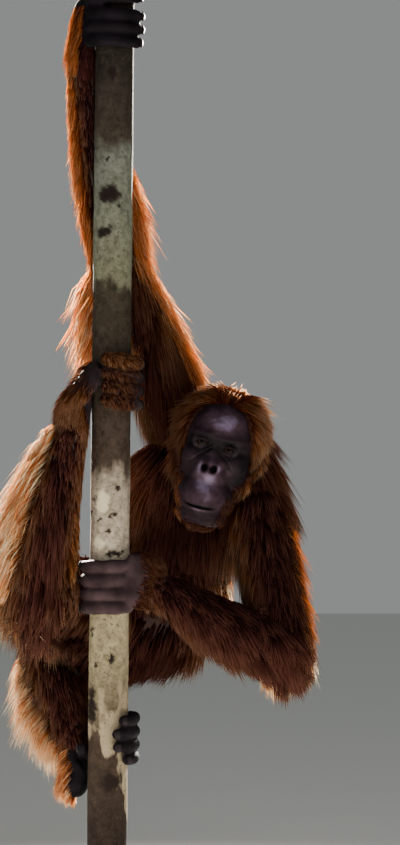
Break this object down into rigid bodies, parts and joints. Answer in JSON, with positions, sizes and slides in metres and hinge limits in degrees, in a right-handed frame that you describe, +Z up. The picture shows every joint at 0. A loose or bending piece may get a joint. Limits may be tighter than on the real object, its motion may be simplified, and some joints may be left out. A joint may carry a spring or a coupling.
{
  "type": "orangutan",
  "caption": "Life-size still model of an adult female orangutan clinging with all four limbs to a cut length of slender trunk, on a flat display base.",
  "frame": {"origin": "centre of the underside of the display base, on the floor", "axes": "+Z up along the trunk, +X to the viewer's right in the picture, +Y away from the viewer"},
  "size_m": [0.64, 0.56, 1.632],
  "materials": {
    "trunk_bark": "smooth grey-beige bark of a young trunk, with brown patches and ring scars",
    "stand_metal": "satin black powder coat",
    "dark_bare_skin": "bare near-black skin of palm, sole and digits, creased, slightly glossy",
    "brown_bare_skin": "bare grey-brown skin, creased at the joints",
    "face_skin": "bare dark purple-brown skin, fine wrinkles",
    "eye_surface": "wet, dark brown iris",
    "coat": "long shaggy hair, deep auburn in shade and orange at the tips"
  },
  "bodies": {
    "root": {"trunk": "trunk_bark", "stand_base": "stand_metal", "stand_rod_left": "stand_metal", "stand_rod_right": "stand_metal", "right_hand": "dark_bare_skin", "right_finger_little": "dark_bare_skin", "right_finger_ring": "dark_bare_skin", "right_finger_middle": "dark_bare_skin", "right_finger_index": "dark_bare_skin", "right_thumb": "dark_bare_skin", "left_foot": "dark_bare_skin", "left_toe_fifth": "dark_bare_skin", "left_toe_fourth": "dark_bare_skin", "left_toe_third": "dark_bare_skin", "left_toe_second": "dark_bare_skin", "left_toe_big": "dark_bare_skin", "left_hand": "brown_bare_skin", "left_finger_little": "brown_bare_skin", "left_finger_ring": "brown_bare_skin", "left_finger_middle": "brown_bare_skin", "left_finger_index": "brown_bare_skin", "left_thumb": "brown_bare_skin", "right_foot": "brown_bare_skin", "right_toe_fifth": "brown_bare_skin", "right_toe_fourth": "brown_bare_skin", "right_toe_third": "brown_bare_skin", "right_toe_second": "brown_bare_skin", "right_toe_big": "brown_bare_skin", "head": "face_skin", "lower_jaw": "face_skin", "right_ear": "face_skin", "left_ear": "face_skin", "right_eye": "eye_surface", "left_eye": "eye_surface", "chest": "coat", "belly": "coat", "neck": "coat", "right_upper_arm": "coat", "left_upper_arm": "coat", "right_thigh": "coat", "left_thigh": "coat", "right_forearm": "coat", "left_forearm": "coat", "right_shin": "coat", "left_shin": "coat"}
  },
  "joints": []
}
